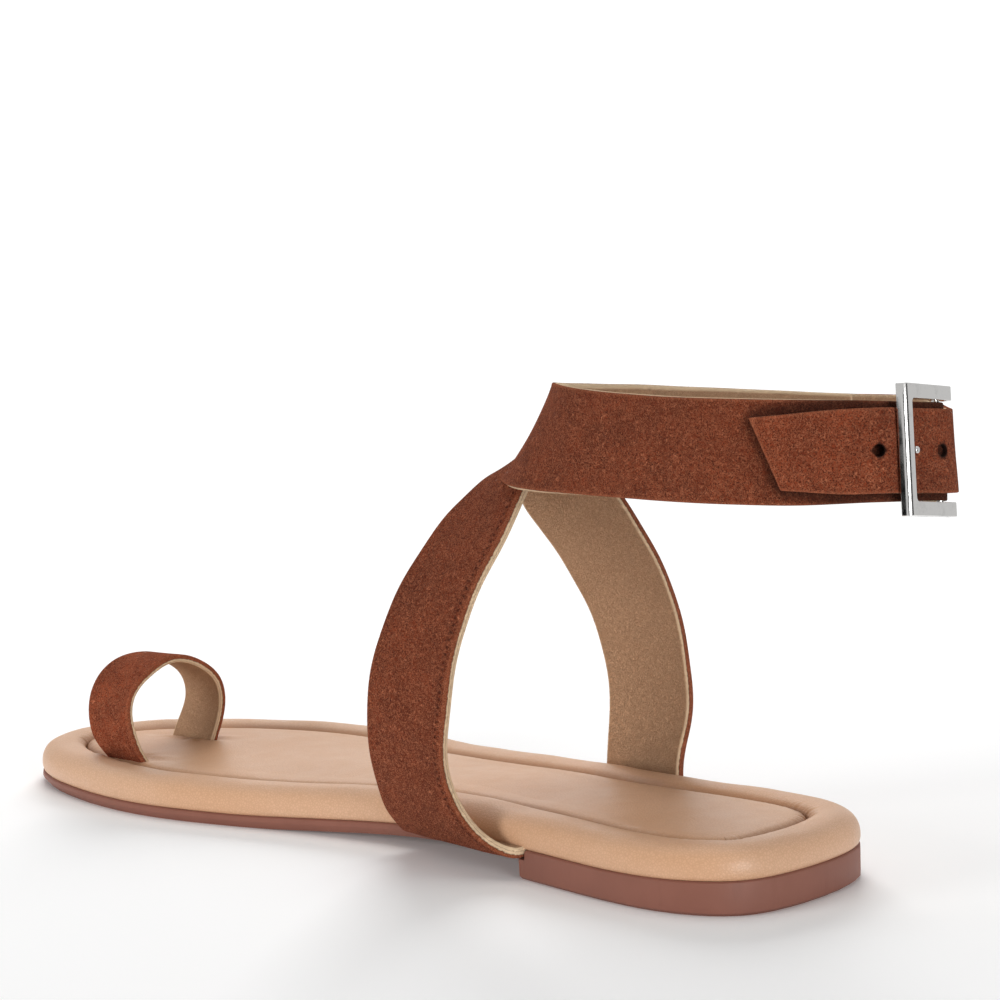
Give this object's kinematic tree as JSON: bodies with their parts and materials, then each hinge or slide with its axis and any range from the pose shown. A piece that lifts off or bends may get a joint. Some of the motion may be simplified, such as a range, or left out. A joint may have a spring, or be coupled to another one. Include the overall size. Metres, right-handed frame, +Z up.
{
  "type": "toe loop sandal",
  "caption": "Flat open sandal with a padded leather insole, a low heel block, a wishbone strap rising to a buckled ankle band, and a loop for the big toe.",
  "frame": {"origin": "centre of the bounding box at its lowest plane, which is the ground the sole rests on", "axes": "+Y from the heel to the toe, +Z up, +X to the wearer's right, which is the outer side of this right shoe"},
  "size_m": [0.0848, 0.2822, 0.1115],
  "materials": {
    "leather": "smooth tan leather, satin",
    "outsole": "matt red-brown, smooth side",
    "suede": "brown suede with a short nap, beige lining inside",
    "metal": "polished"
  },
  "bodies": {
    "root": {"outsole": "outsole", "footbed": "leather", "insole_panel": "leather", "upper_straps": "suede", "toe_loop": "suede", "strap_end": "suede", "buckle": "metal"}
  },
  "joints": []
}
